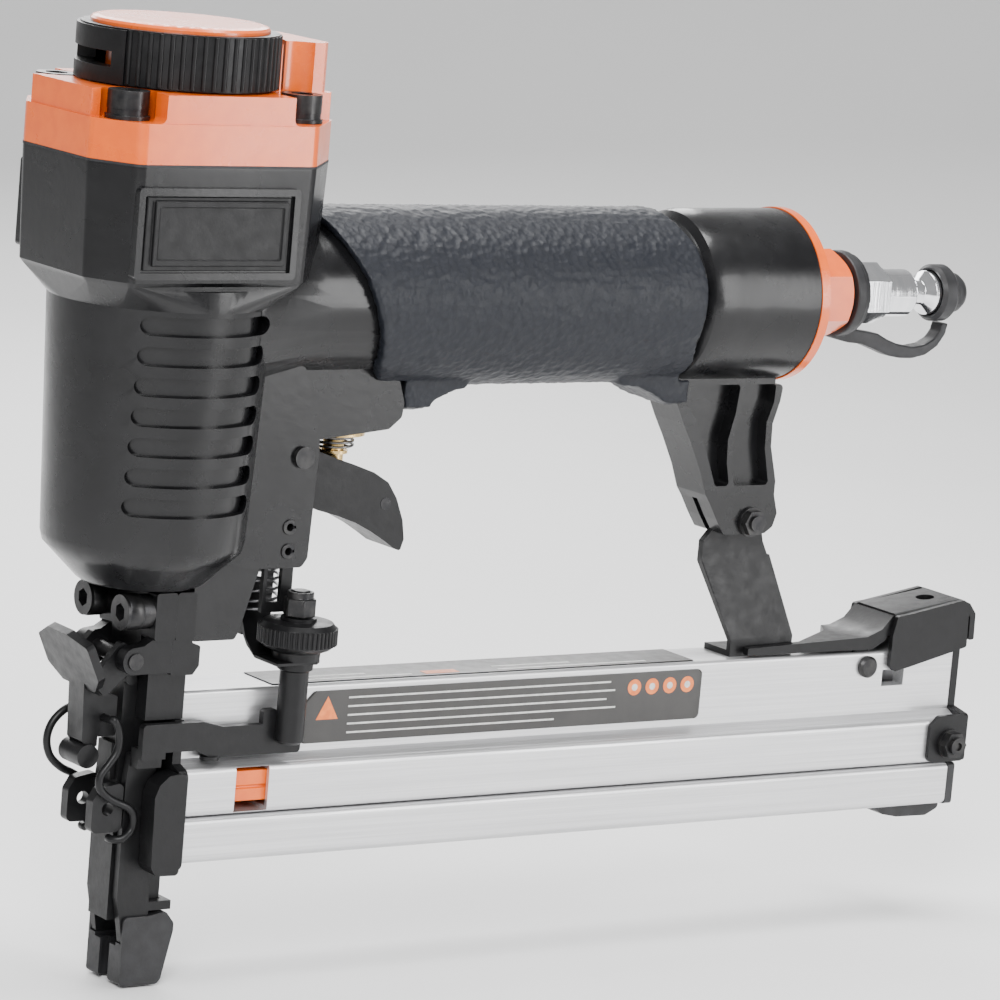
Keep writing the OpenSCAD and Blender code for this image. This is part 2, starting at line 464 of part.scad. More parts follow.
// ---------------------------------------------------------------- work contact
module contact_arm() color([0.1, 0.1, 0.11]) difference() {
  union() {
    // legs either side of the nose tip
    both() xz(-7.2, -5) soft(0.6) polygon([[-1.6, 10.5], [5.2, 10.5], [5.2, 20], [4.4, 34], [4.4, 57.6], [-3, 57.6], [-3.8, 50], [-3.8, 22], [-2.2, 14]]);
    // near flank, stepping out to the stem
    xz(-12, -9.9) soft(1) polygon([[-2.8, 58.6], [12, 58.6], [17, 56.5], [20, 56.5], [20, 64], [14, 65.6], [-2.8, 65.6]]);
    xz(-11.5, -9.6) soft(1) polygon([[16, 56.5], [42.2, 56.5], [42.2, 61], [35, 61], [35, 67.6], [31, 67.6], [31, 64], [16, 64]]);
    bx([-2.8, -10.4, 54.6], [3.8, -7, 59.4]);
    bx([-2.8, -12, 57], [3.8, -9.9, 60]);
    // rivet under the arm
    zcyl(16.8, -10.7, 2.3, 56, 56.9);
    // bridge behind the nose tip, tying the two legs together
    bx([9.9, -7.2, 18.3], [11.4, 7.2, 20.5]);
    both() bx([3, -7.2, 18.3], [11.4, -5, 20.5]);
  }
}
module contact_foot() color([0.07, 0.07, 0.075]) difference() {
  union() {
    both() xz(-8, -2.2) soft(1.2) polygon([[-1.9, 0], [8.6, 0], [9.6, 1.2], [12.2, 13], [12.2, 15], [9.8, 18], [5, 17.2], [-1.9, 17.2]]);
    bx([7, -4, 2.4], [9.4, 4, 17]);
  }
  // seats for the legs
  both() bx([-2.3, -7.25, 10.45], [5.25, -4.95, 20]);
  both() bx([-2.3, -7.25, 14], [5.25, -4.95, 20]);
  // space for the nose tip and a slot for fastener and driver
  bx([-4.7, -4.96, 9.6], [10.2, 4.96, 20]);
  bx([-1.2, -3.4, -1], [1.2, 3.4, 20]);
}
module depth_stem() color([0.3, 0.3, 0.32]) difference() {
  union() {
    translate([wx, wy, 0]) rotate_extrude() polygon([[0, 59.4], [2.7, 59.4], [3.55, 60.2], [3.55, 77.4], [4.4, 78], [4.4, 79.65], [2.5, 79.65], [2.5, 96.8], [2, 97.3], [0, 97.3]]);
  }
  bx([30, -11.5, 50], [42.3, -9, 65]);
  bx([30, -11.5, 60], [35.05, -9, 70]);
}
module depth_wheel() color([0.12, 0.12, 0.13]) difference() {
  union() {
    translate([wx, wy, 0]) rotate_extrude() polygon([[0, 80.45], [5.8, 80.45], [6, 82.4], [8.2, 83.4], [wheel_r - 0.4, 84.4], [wheel_r - 0.4, 88.6], [wheel_r - 1.3, 89.7], [4.4, 89.9], [4.4, 90.7], [0, 90.7]]);
    for (k = [0:wheel_teeth - 1]) translate([wx, wy, 0]) rotate([0, 0, k * 360 / wheel_teeth]) zcyl(wheel_r - 0.4, 0, 0.42, 84.5, 88.5, $fn = 16);
  }
  zcyl(wx, wy, 2.54, 78, 95);
}
module stem_lock_nut() color([0.2, 0.2, 0.21]) difference() {
  union() {
    translate([wx, wy, 91]) rotate([0, 0, 12]) cylinder(r = 4.1, h = 4.4, $fn = 6);
    zcyl(wx, wy, 3.3, 95.4, 97);
  }
  zcyl(wx, wy, 2.51, 90, 98);
}
module safety_link() color([0.12, 0.12, 0.13]) difference() {
  union() {
    // blade that runs up inside the spring
    xz(-1, 1) polygon([[29.5, 84], [37.5, 84], [37.5, 115.4], [34, 116.3], [29.5, 116.3]]);
    // slotted guide strip beside the spring, joined to the blade at the top
    bx([30, -8.2, 90.9], [38.3, -6.8, 116.3]);
    bx([30, -8.2, 114.95], [34, 1, 116.3]);
    // raised seat under the spring, clear of the wheel
    bx([31, 0.5, 86.8], [36, 5.2, 89.9]);
    // foot that slopes out to the wheel
    yz(29.5, 43) polygon([[5.6, 88], [-1, 87.7], [-3, 83.7], [-7.1, 80.4], [-18, 80.4], [-18, 79.7], [-7.7, 79.7], [-3.6, 82], [-1, 84.8], [5.6, 86.5]]);
  }
  zcyl(wx, wy, 4.5, 79, 79.68);
  zcyl(wx, wy, 2.52, 75, 95);
  // guide slots for the two roll pins
  bx([31.1, -3, 97.2], [35.1, 3, 114.9]);
  bx([31.1, -9, 93.4], [35.1, -6, 114.9]);
  translate([42, -19, 70]) rotate([0, 0, 45]) cube([8, 3, 30], center = true);
  translate([43.4, 3, 70]) rotate([0, 0, -45]) cube([12, 4, 40], center = true);
}
module safety_spring() color([0.25, 0.25, 0.26]) coil(33.5, 0, 5.2, 0.42, 90, 102.8, 6, 0.45);
// ---------------------------------------------------------------- magazine
module mag_section() difference() {
  union() {
    soft(1) polygon([[-block_hw, 50], [block_hw, 50], [block_hw, 72.4], [-block_hw, 72.4]]);
    soft(1.6) polygon([[-rail_hw, 42.3], [rail_hw, 42.3], [rail_hw, 54.4], [-rail_hw, 54.4]]);
    polygon([[-rail_hw + 2, 54.4], [rail_hw - 2, 54.4], [block_hw, 55.8], [-block_hw, 55.8]]);
  }
  // inverted-T passage for guide, fasteners and pusher
  polygon([[-3.7, 41], [3.7, 41], [3.7, 43.8], [11.8, 43.8], [11.8, 53], [3.7, 53], [3.7, 69.2], [-3.7, 69.2], [-3.7, 53],
    [-11.8, 53], [-11.8, 43.8], [-3.7, 43.8]]);
}
module magazine_body() color([0.78, 0.78, 0.79]) difference() {
  yz(9.75, 250) mag_section();
  // inspection windows beside the pusher
  bx([23.6, -20, 42.9], [33, 20, 53.9]);
  // notch and slot for the rear latch
  bx([226.3, -20, 63], [233.6, 20, 67.4]);
  both() bx([216.4, -6.4, 64.6], [225, -4.2, 74]);
  ycyl(rl[0], rl[1], 1.52, -20, 20);
  ycyl(246.2, 47.8, 2.42, -20, 20);
}
module magazine_rail() color([0.8, 0.8, 0.81]) difference() {
  yz(9.75, 248) difference() {
    soft(1.6) polygon([[-rail_hw, 30.8], [rail_hw, 30.8], [rail_hw, 42], [-rail_hw, 42]]);
    polygon([[-3.7, 33.4], [3.7, 33.4], [3.7, 43], [-3.7, 43]]);
    for (s = [-1, 1]) polygon([[s * 5.4, 33], [s * 11.2, 33], [s * 11.2, 40], [s * 5.4, 40]]);
  }
}
module staple_guide() color([0.6, 0.6, 0.62]) difference() {
  bx([12.4, -2.3, 33.4], [244, 2.3, 62]);
  bx([12, -1.4, 33], [245, 1.4, 61]);
}
module pusher() color([0.95, 0.42, 0.08]) difference() {
  union() {
    bx([12.6, -3.55, 44.4], [40, 3.55, 66]);
    bx([14, -11.5, 45.2], [40, 11.5, 52.7]);
  }
  bx([10, -2.42, 40], [41, 2.42, 62.2]);
  for (s = [-1, 1]) bx([22, s < 0 ? -12 : 10.9, 48.3], [36, s < 0 ? -10.9 : 12, 49]);
}
module pusher_spring() color([0.65, 0.65, 0.66]) union() {
  difference() { ycyl(44.2, 48.5, 3.8, 5, 11); ycyl(44.2, 48.5, 1.8, 4, 12); }
  bx([16, 5, 44.3], [44.2, 11, 44.75]);
  bx([40, 5, 46.8], [41.2, 11, 50.2]);
}
module shoe_plate() color([0.1, 0.1, 0.11]) difference() {
  union() {
    yz(7.3, 9.7) soft(2) polygon([[-13.6, 30.4], [-11, 28.4], [11, 28.4], [13.6, 30.4], [13.6, 53.6], [9.6, 55], [9.6, 74], [-9.6, 74], [-9.6, 55], [-13.6, 53.6]]);
    both() xz(-13.6, -7.7) soft(1.2) polygon([[9, 28.4], [2.6, 28.6], [1.2, 30.6], [0.8, 48], [2, 51], [4.6, 53.2], [9, 53.6]]);
  }
  // room for the nose
  bx([0, -4.42, 20], [12, 4.42, 80]);
  bx([0, -12, 65.8], [12, 12, 80]);
  bx([6, -3.3, 33], [12, 3.3, 69]);
}
module rear_plate() color([0.1, 0.1, 0.11]) difference() {
  union() {
    yz(250, 252.2) soft(1) polygon([[-14.4, 42.8], [14.4, 42.8], [14.4, 55.4], [8.2, 56.6], [8.2, 72.6], [-8.2, 72.6], [-8.2, 56.6], [-14.4, 55.4]]);
    both() xz(-14.4, -13.1) soft(1.8) polygon([[239.6, 42.8], [252.2, 42.8], [252.2, 55.4], [242.2, 55.4], [239.6, 52.6]]);
  }
  bx([249, -3.9, 40], [254, 3.9, 68]);
  both() ycyl(246.2, 47.8, 2.6, -18, -12);
}
module rear_bolts() color([0.15, 0.15, 0.16]) both() difference() {
  union() {
    ycyl(246.2, 47.8, 2.4, -14.4, -11.9);
    ycyl(246.2, 47.8, 3.9, -15.3, -14.4);
    translate([246.2, -15.3, 47.8]) rotate([90, 0, 0]) cylinder(r = 3.7, h = 2.2, $fn = 6);
    ycyl(246.2, 47.8, 2.4, -18.7, -17.5);
  }
  ycyl(246.2, 47.8, 1.1, -21, -18);
}
module rear_latch() color([0.11, 0.11, 0.12]) difference() {
  union() {
    // cheeks
    both() xz(-9.8, -8.4) soft(0.8) polygon([[228.4, 82], [227.2, 77], [227.2, 68.6], [229, 67.2], [233.8, 68.2], [253, 72.8],
      [252.6, 84], [250.8, 85.6], [231.8, 82.4]]);
    // roof with bevelled long edges
    hull() {
      xz(-9.8, 9.8) polygon([[228.6, 80.6], [231.8, 80.9], [250.4, 83], [250.8, 84], [231.7, 81.6], [228.6, 81.2]]);
      xz(-7.4, 7.4) polygon([[228.8, 82.4], [231.8, 82.8], [250.4, 85.4], [250.6, 84.2], [231.8, 82], [229, 81.6]]);
    }
    // tail flap
    xz(-8.2, 8.2) soft(0.5) polygon([[249.4, 84], [250.8, 85.6], [254.2, 84.2], [256.4, 81.4], [256.6, 74.4], [254.8, 74.2], [254.6, 80.6], [253, 82.4]]);
    // arm that runs forward along the magazine, then up into the roof
    intersection() {
      translate([0, 0, 73.2]) linear_extrude(10) polygon([[181, -7.4], [181, -5.4], [199, -5.4], [214, 3], [217, 8.2], [230, 8.2], [230, -8.2], [217, -8.2]]);
      xz(-9, 9) polygon([[181, 73.2], [222, 73.2], [226, 75.4], [229.6, 80.4], [229.6, 81.6], [228, 82], [224.6, 78.4], [220, 76.6], [181, 75]]);
    }
    // lugs on the pivot
    both() xz(-6, -4.5) union() {
      translate(rl) circle(r = 2.9);
      polygon([[218, 68.6], [223.2, 68.6], [222, 74], [218, 74]]);
    }
  }
  ycyl(rl[0], rl[1], 1.58, -12, 12);
  zcyl(245.1, 0, 2.5, 78, 90);
}
module latch_pivot_pin() color([0.2, 0.2, 0.21]) union() {
  ycyl(rl[0], rl[1], 1.5, -8.2, 8.2);
  both() translate([rl[0], 0, rl[1]]) rotate([90, 0, 0]) rotate_extrude() polygon([[0, 8.02], [2.9, 8.02], [2.9, 9], [2.3, 9.6], [0, 9.6]]);
}
module latch_spring() color([0.5, 0.5, 0.52]) coil(240, 0, 3.6, 0.45, 72.4, 80.9, 5, 0.65);
module magazine_foot() color([0.05, 0.05, 0.05]) union() {
  xz(-8, 8) soft(1.4) polygon([[226, 30.8], [231, 27.8], [236, 26.8], [246, 26.6], [250.4, 28.6], [250.4, 42], [248, 42], [248, 30.8]]);
  both() yz(248, 250.4) soft(1) polygon([[-13, 30.8], [-7, 30.2], [-7, 42], [-13, 42]]);
}
module support_strap() color([0.12, 0.12, 0.13]) difference() {
  union() {
    // tongue in the slot of the leg
    xz(-1, 1) soft(0.6) polygon([[168, 97], [190, 97], [187.4, 102], [184.8, 112.4], [173, 112.4], [171, 106], [168, 102.6]]);
    // slanting strip
    hull() {
      bx([168, -1, 97.2], [190, 1, 98.4]);
      bx([177.2, -4.6, 76.6], [197.4, -3, 77.4]);
    }
    bx([177.2, -4.6, 72.4], [197.4, -3, 77]);
    // foot on top of the magazine
    bx([177.2, -4.6, 72.4], [197.4, 6.4, 74]);
  }
  ycyl(178.5, 108.4, 2.12, -4, 4);
}
module strap_bolt() color([0.2, 0.2, 0.21]) difference() {
  union() {
    ycyl(178.5, 108.4, 2.05, -9.6, 6.2);
    ycyl(178.5, 108.4, 3.9, -7, -6.2);
    translate([178.5, -7, 108.4]) rotate([90, 0, 0]) cylinder(r = 3.5, h = 1.8, $fn = 6);
    ycyl(178.5, 108.4, 3.8, 6.2, 8.4);
  }
  translate([178.5, 8.5, 108.4]) rotate([90, 0, 0]) cylinder(r = 2, h = 1.4, $fn = 6);
}
module magazine_label() color([0.08, 0.075, 0.07]) union() {
  xz(-block_hw - 0.3, -block_hw) soft(1.5) polygon([[44, 57.6], [166, 57.6], [166, 70.6], [47.5, 70.6], [44, 67]]);
  bx([36, -6.6, 72.4], [164, 6.6, 72.7]);
}

housing();
cylinder_cap();
cap_gasket();
cap_screws();
cap_washers();
deflector_knob();
deflector_disc();
deflector_screw();
head_valve();
head_valve_spring();
cylinder_sleeve();
sleeve_o_rings();
piston();
piston_ring();
driver_blade();
bumper();
badges();
handle_grip();
end_cap();
end_cap_seal();
air_plug();
dust_cap();
cap_strap();
trigger();
trigger_pivot_pin();
link_roll_pins();
idler_lever();
idler_pin();
trigger_valve_body();
valve_stem();
valve_spring();
nose_front();
nose_body();
nose_screws();
nose_door();
latch_lever();
latch_pin();
latch_bail();
contact_arm();
contact_foot();
depth_stem();
depth_wheel();
stem_lock_nut();
safety_link();
safety_spring();
magazine_body();
magazine_rail();
staple_guide();
pusher();
pusher_spring();
shoe_plate();
rear_plate();
rear_bolts();
rear_latch();
latch_pivot_pin();
latch_spring();
magazine_foot();
support_strap();
strap_bolt();
magazine_label();
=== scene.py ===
import json, math
import bpy
import bmesh
import numpy as np
from mathutils import Vector, Matrix


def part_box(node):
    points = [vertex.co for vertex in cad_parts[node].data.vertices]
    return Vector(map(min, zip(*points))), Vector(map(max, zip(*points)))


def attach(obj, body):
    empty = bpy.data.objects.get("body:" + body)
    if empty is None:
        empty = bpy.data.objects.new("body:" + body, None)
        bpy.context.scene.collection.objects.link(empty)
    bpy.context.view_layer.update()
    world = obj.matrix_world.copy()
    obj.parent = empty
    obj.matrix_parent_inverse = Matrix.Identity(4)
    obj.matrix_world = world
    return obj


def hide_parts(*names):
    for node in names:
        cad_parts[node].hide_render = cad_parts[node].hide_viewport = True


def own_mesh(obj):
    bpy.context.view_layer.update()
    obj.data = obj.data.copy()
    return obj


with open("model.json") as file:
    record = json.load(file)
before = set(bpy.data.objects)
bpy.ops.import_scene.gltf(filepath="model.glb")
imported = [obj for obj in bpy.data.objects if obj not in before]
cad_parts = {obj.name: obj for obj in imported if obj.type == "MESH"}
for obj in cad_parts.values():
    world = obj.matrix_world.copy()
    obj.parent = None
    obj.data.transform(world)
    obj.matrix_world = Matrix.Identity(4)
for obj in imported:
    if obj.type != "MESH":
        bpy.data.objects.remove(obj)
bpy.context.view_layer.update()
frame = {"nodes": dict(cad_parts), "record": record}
nodes = frame["nodes"]
record = frame["record"]
MM = 0.001


# ------------------------------------------------------------ materials
def lin(c):
    return tuple(((x / 12.92) if x <= 0.04045 else ((x + 0.055) / 1.055) ** 2.4) for x in c)


class Mat:
    def __init__(self, name):
        self.m = bpy.data.materials.new(name)
        self.m.use_nodes = True
        self.t = self.m.node_tree
        self.b = self.t.nodes["Principled BSDF"]
        self.co = self.t.nodes.new("ShaderNodeTexCoord").outputs["Object"]

    def set(self, **k):
        for n, v in k.items():
            self.b.inputs[n.replace("_", " ")].default_value = v
        return self

    def link(self, a, b):
        self.t.links.new(a, b)

    def scaled(self, s):
        n = self.t.nodes.new("ShaderNodeMapping")
        n.inputs["Scale"].default_value = s
        self.link(self.co, n.inputs["Vector"])
        return n.outputs["Vector"]

    def noise(self, s, detail=4.0, rough=0.55, dist=0.0):
        n = self.t.nodes.new("ShaderNodeTexNoise")
        n.inputs["Scale"].default_value = 1.0
        n.inputs["Detail"].default_value = detail
        n.inputs["Roughness"].default_value = rough
        n.inputs["Distortion"].default_value = dist
        self.link(self.scaled(s), n.inputs["Vector"])
        return n.outputs["Fac"]

    def voronoi(self, s, feature="F1"):
        n = self.t.nodes.new("ShaderNodeTexVoronoi")
        n.feature = feature
        n.inputs["Scale"].default_value = 1.0
        self.link(self.scaled(s), n.inputs["Vector"])
        return n.outputs["Distance"]

    def ramp(self, fac, stops):
        n = self.t.nodes.new("ShaderNodeValToRGB")
        e = n.color_ramp.elements
        e[0].position, e[0].color = stops[0][0], (*stops[0][1], 1)
        e[1].position, e[1].color = stops[-1][0], (*stops[-1][1], 1)
        for p, c in stops[1:-1]:
            x = e.new(p)
            x.color = (*c, 1)
        self.link(fac, n.inputs["Fac"])
        return n.outputs["Color"]

    def map(self, fac, lo, hi, a=0.0, b=1.0):
        n = self.t.nodes.new("ShaderNodeMapRange")
        n.inputs["From Min"].default_value = a
        n.inputs["From Max"].default_value = b
        n.inputs["To Min"].default_value = lo
        n.inputs["To Max"].default_value = hi
        self.link(fac, n.inputs["Value"])
        return n.outputs["Result"]

    def colour(self, fac, a, b, lo=0.35, hi=0.65):
        self.link(self.ramp(fac, [(lo, a), (hi, b)]), self.b.inputs["Base Color"])
        return self

    def rough(self, fac, lo, hi, a=0.3, b=0.7):
        self.link(self.map(fac, lo, hi, a, b), self.b.inputs["Roughness"])
        return self

    def bump(self, fac, strength, dist):
        n = self.t.nodes.new("ShaderNodeBump")
        n.inputs["Strength"].default_value = strength
        n.inputs["Distance"].default_value = dist
        self.link(fac, n.inputs["Height"])
        if self.b.inputs["Normal"].is_linked:
            self.link(self.b.inputs["Normal"].links[0].from_socket, n.inputs["Normal"])
        self.link(n.outputs["Normal"], self.b.inputs["Normal"])
        return self


def build_materials():
    M = {}
    # orange powder coat: faint orange peel, slight mottling
    m = Mat("orange_paint").set(Metallic=0.0, Coat_Weight=0.55, Coat_Roughness=0.12, Specular_IOR_Level=0.5)
    f = m.noise((260, 260, 260), 3)
    m.colour(f, lin((0.86, 0.345, 0.0)), lin((0.89, 0.375, 0.01)))
    m.rough(m.noise((90, 90, 90), 5), 0.24, 0.36)
    m.bump(m.noise((700, 700, 700), 2), 0.10, 0.0002)
    M["orange_paint"] = m.m
    m = Mat("orange_plastic").set(Coat_Weight=0.2, Coat_Roughness=0.2)
    m.colour(m.noise((200, 200, 200)), lin((0.87, 0.36, 0.0)), lin((0.91, 0.40, 0.02)))
    m.rough(m.noise((500, 500, 500)), 0.32, 0.46)
    m.bump(m.noise((900, 900, 900)), 0.12, 0.0002)
    M["orange_plastic"] = m.m
    # gloss black over a casting: long-wave ripple and fine grain
    m = Mat("black_casting").set(Coat_Weight=0.12, Coat_Roughness=0.10, Specular_IOR_Level=0.28)
    m.colour(m.noise((120, 120, 120)), (0.0045, 0.0045, 0.005), (0.0075, 0.0075, 0.0083))
    m.rough(m.noise((60, 60, 60), 6), 0.20, 0.34)
    m.bump(m.noise((420, 420, 420), 3), 0.14, 0.0003)
    m.bump(m.noise((70, 70, 70), 2), 0.06, 0.0006)
    M["black_casting"] = m.m
    # satin black steel with rubbed patches
    m = Mat("black_steel").set(Metallic=0.15, Specular_IOR_Level=0.30)
    f = m.noise((260, 260, 260), 7, 0.6)
    m.link(m.ramp(f, [(0.30, (0.0055, 0.0055, 0.006)), (0.70, (0.0085, 0.0085, 0.0092)), (0.92, (0.014, 0.0138, 0.0136))]), m.b.inputs["Base Color"])
    m.rough(m.noise((330, 330, 330), 4), 0.30, 0.46)
    m.bump(m.noise((800, 800, 800), 3), 0.16, 0.0002)
    M["black_steel"] = m.m
    m = Mat("dark_fastener").set(Metallic=0.75)
    f = m.noise((400, 400, 400), 5)
    m.link(m.ramp(f, [(0.30, (0.018, 0.018, 0.020)), (0.75, (0.050, 0.049, 0.048))]), m.b.inputs["Base Color"])
    m.rough(m.noise((900, 250, 250), 4), 0.26, 0.44)
    m.bump(m.noise((1600, 500, 500), 2), 0.10, 0.0001)
    M["dark_fastener"] = m.m
    # navy-black leather-grain rubber
    m = Mat("rubber").set(Specular_IOR_Level=0.30)
    v = m.voronoi((640, 640, 640))
    m.link(m.ramp(v, [(0.05, lin((0.095, 0.105, 0.132))), (0.75, lin((0.075, 0.085, 0.11)))]), m.b.inputs["Base Color"])
    m.rough(m.noise((300, 300, 300), 3), 0.44, 0.56)
    m.bump(v, 0.35, 0.0004)
    m.bump(m.noise((1500, 1500, 1500), 3), 0.18, 0.0002)
    M["rubber"] = m.m
    m = Mat("seal_rubber").set(Specular_IOR_Level=0.4)
    m.colour(m.noise((230, 230, 230), 4), (0.010, 0.010, 0.011), (0.018, 0.018, 0.020))
    m.rough(m.noise((420, 420, 420), 4), 0.42, 0.58)
    m.bump(m.noise((1100, 1100, 1100), 3), 0.15, 0.0002)
    M["seal_rubber"] = m.m
    m = Mat("chrome").set(Metallic=1.0)
    m.colour(m.noise((500, 60, 60)), (0.80, 0.81, 0.83), (0.90, 0.90, 0.92))
    m.rough(m.noise((2500, 80, 80), 3), 0.05, 0.12)
    m.bump(m.noise((2600, 60, 60), 2), 0.05, 0.0001)
    M["chrome"] = m.m
    # extruded aluminium, brushed along its length
    m = Mat("brushed_aluminium").set(Metallic=0.82, Specular_IOR_Level=0.5, Anisotropic=0.35)
    f = m.noise((14, 1500, 1500), 6, 0.7)
    m.link(m.ramp(f, [(0.30, (0.56, 0.56, 0.57)), (0.70, (0.74, 0.74, 0.75))]), m.b.inputs["Base Color"])
    m.rough(m.noise((30, 2200, 2200), 4), 0.30, 0.44)
    m.bump(m.noise((18, 2400, 2400), 4), 0.16, 0.00015)
    M["brushed_aluminium"] = m.m
    m = Mat("inner_aluminium").set(Metallic=0.9)
    m.colour(m.noise((120, 120, 1800), 4), (0.50, 0.51, 0.53), (0.62, 0.63, 0.65))
    m.rough(m.noise((200, 200, 2400)), 0.22, 0.4)
    M["inner_aluminium"] = m.m
    m = Mat("spring_steel").set(Metallic=0.85)
    m.colour(m.noise((60, 900, 900), 4), (0.13, 0.13, 0.135), (0.17, 0.17, 0.175))
    m.rough(m.noise((900, 900, 900)), 0.25, 0.42)
    M["spring_steel"] = m.m
    m = Mat("brass").set(Metallic=1.0)
    m.colour(m.noise((300, 300, 900), 4), (0.62, 0.42, 0.16), (0.78, 0.56, 0.26))
    m.rough(m.noise((400, 400, 1800)), 0.18, 0.34)
    M["brass"] = m.m
    m = Mat("label").set(Coat_Weight=0.3, Coat_Roughness=0.2)
    m.colour(m.noise((180, 180, 180), 4), (0.013, 0.0115, 0.0105), (0.020, 0.018, 0.0165))
    m.rough(m.noise((300, 300, 300)), 0.30, 0.42)
    M["label"] = m.m
    m = Mat("print_orange")
    m.colour(m.noise((500, 500, 500), 4), lin((0.86, 0.42, 0.16)), lin((0.93, 0.50, 0.22)))
    m.rough(m.noise((300, 300, 300)), 0.32, 0.45)
    M["print_orange"] = m.m
    m = Mat("print_pale")
    m.colour(m.noise((500, 500, 500), 4), (0.50, 0.50, 0.48), (0.66, 0.66, 0.64))
    m.rough(m.noise((300, 300, 300)), 0.32, 0.45)
    M["print_pale"] = m.m
    return M


MATS = build_materials()
SLOT = {s["node"]: s["material_slot"] for s in record["subparts"]}


def paint(o, name):
    o.data.materials.clear()
    o.data.materials.append(MATS[name])


# ------------------------------------------------------------ CAD nodes: weld, bevel, finish
BEVEL = {
    "housing": 0.9, "cylinder_cap": 0.7, "deflector_knob": 0.25, "deflector_disc": 0.35, "end_cap": 0.5, "air_plug": 0.3,
    "magazine_body": 0.12, "magazine_rail": 0.12, "rear_latch": 0.55, "shoe_plate": 0.5, "rear_plate": 0.35,
    "latch_lever": 0.45, "nose_door": 0.35, "nose_front": 0.5, "nose_body": 0.5, "contact_arm": 0.3, "contact_foot": 0.5,
    "trigger": 0.7, "depth_wheel": 0.12, "depth_stem": 0.2, "pusher": 0.3, "support_strap": 0.3, "magazine_foot": 0.5,
    "badges": 0.25, "cap_screws": 0.4, "nose_screws": 0.35, "strap_bolt": 0.3, "rear_bolts": 0.25, "magazine_label": 0.0,
    "trigger_pivot_pin": 0.3, "idler_pin": 0.3, "latch_pin": 0.3, "stem_lock_nut": 0.25, "safety_link": 0.2, "dust_cap": 0.3,
    "cap_washers": 0.12, "link_roll_pins": 0.15,
}
for name, o in nodes.items():
    me = o.data
    if "custom_normal" in me.attributes:
        me.attributes.remove(me.attributes["custom_normal"])
    for p in me.polygons:
        p.use_smooth = True
    paint(o, SLOT.get(name, "black_steel"))
    w = o.modifiers.new("weld", "WELD")
    w.merge_threshold = 0.00001
    b = BEVEL.get(name, 0.12)
    if name in ("handle_grip", "cap_strap"):
        continue
    if b > 0:
        k = o.modifiers.new("bevel", "BEVEL")
        k.width = b * MM
        k.segments = 3 if b >= 0.3 else 2
        k.limit_method = "ANGLE"
        k.angle_limit = math.radians(32)
        k.use_clamp_overlap = True
        k.harden_normals = True
        k.miter_outer = "MITER_ARC"
    n = o.modifiers.new("wn", "WEIGHTED_NORMAL")
    n.keep_sharp = True
    n.weight = 50


# ------------------------------------------------------------ mesh helpers
def mesh_object(name, verts, faces, mat, body, smooth=True):
    me = bpy.data.meshes.new(name)
    me.from_pydata([tuple(v) for v in verts], [], faces)
    me.validate()
    me.update()
    bm = bmesh.new()
    bm.from_mesh(me)
    bmesh.ops.recalc_face_normals(bm, faces=bm.faces)
    bm.to_mesh(me)
    bm.free()
    for p in me.polygons:
        p.use_smooth = smooth
    o = bpy.data.objects.new(name, me)
    bpy.context.scene.collection.objects.link(o)
    paint(o, mat)
    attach(o, body)
    return o


def catmull(P, n):
    P = [np.array(p, float) for p in P]
    Q = [2 * P[0] - P[1]] + P + [2 * P[-1] - P[-2]]
    out = []
    for i in range(1, len(Q) - 2):
        a, b, c, d = Q[i - 1:i + 3]
        for k in range(n):
            t = k / n
            out.append(0.5 * (2 * b + (c - a) * t + (2 * a - 5 * b + 4 * c - d) * t * t + (3 * b - 3 * c + d - a) * t ** 3))
    out.append(P[-1])
    return out


def tube(P, r, sides=12, cap=True):
    """Round wire along P with rounded ends; returns verts and faces."""
    P = [np.array(p, float) for p in P]
    m = len(P)
    T = [P[min(i + 1, m - 1)] - P[max(i - 1, 0)] for i in range(m)]
    T = [t / np.linalg.norm(t) for t in T]
    ref = np.array([0, 0, 1.0]) if abs(T[0][2]) < 0.9 else np.array([1.0, 0, 0])
    a = np.cross(ref, T[0])
    a /= np.linalg.norm(a)
    rings = []
    if cap:
        for q in (0.0, 0.6):
            rings.append((P[0] - T[0] * r * (1 - q) * 0.9, T[0], r * (0.35 + 0.5 * q)))
    for p, t in zip(P, T):
        rings.append((p, t, r))
    if cap:
        for q in (0.6, 0.0):
            rings.append((P[-1] + T[-1] * r * (1 - q) * 0.9, T[-1], r * (0.35 + 0.5 * q)))
    V, F = [], []
    for p, t, rr in rings:
        a = a - t * np.dot(a, t)
        a /= np.linalg.norm(a)
        b = np.cross(t, a)
        for k in range(sides):
            g = 2 * math.pi * k / sides
            V.append(p + rr * (math.cos(g) * a + math.sin(g) * b))
    n = len(rings)
    for i in range(n - 1):
        for k in range(sides):
            j = (k + 1) % sides
            F.append((i * sides + k, i * sides + j, (i + 1) * sides + j, (i + 1) * sides + k))
    F.append(tuple(range(sides - 1, -1, -1)))
    F.append(tuple((n - 1) * sides + k for k in range(sides)))
    return V, F


def coil_points(x, y, R, w, z0, z1, turns, f, n=36):
    N = int(turns * n)
    h = z1 - z0 - 2 * w
    out = []
    for i in range(N + 1):
        t = i / N
        e = 1 / turns
        if t < e:
            u = f * t
        elif t > 1 - e:
            u = 1 - f * (1 - t)
        else:
            u = f * e + (t - e) * (1 - 2 * f * e) / (1 - 2 * e)
        g = 2 * math.pi * i / n
        out.append((x + R * math.cos(g), y + R * math.sin(g), z0 + w + h * u))
    return out


def mm(P):
    return [tuple(c * MM for c in p) for p in P]


# springs, drawn as round wire
def spring(name, node, x, y, R, w, turns, f):
    lo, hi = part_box(node)
    z0, z1 = lo.z / MM, hi.z / MM
    V, F = tube(mm(coil_points(x, y, R, w, z0, z1, turns, f)), w * MM, 10)
    o = mesh_object(name, V, F, "spring_steel", "main")
    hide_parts(node)
    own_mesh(o)
    return o


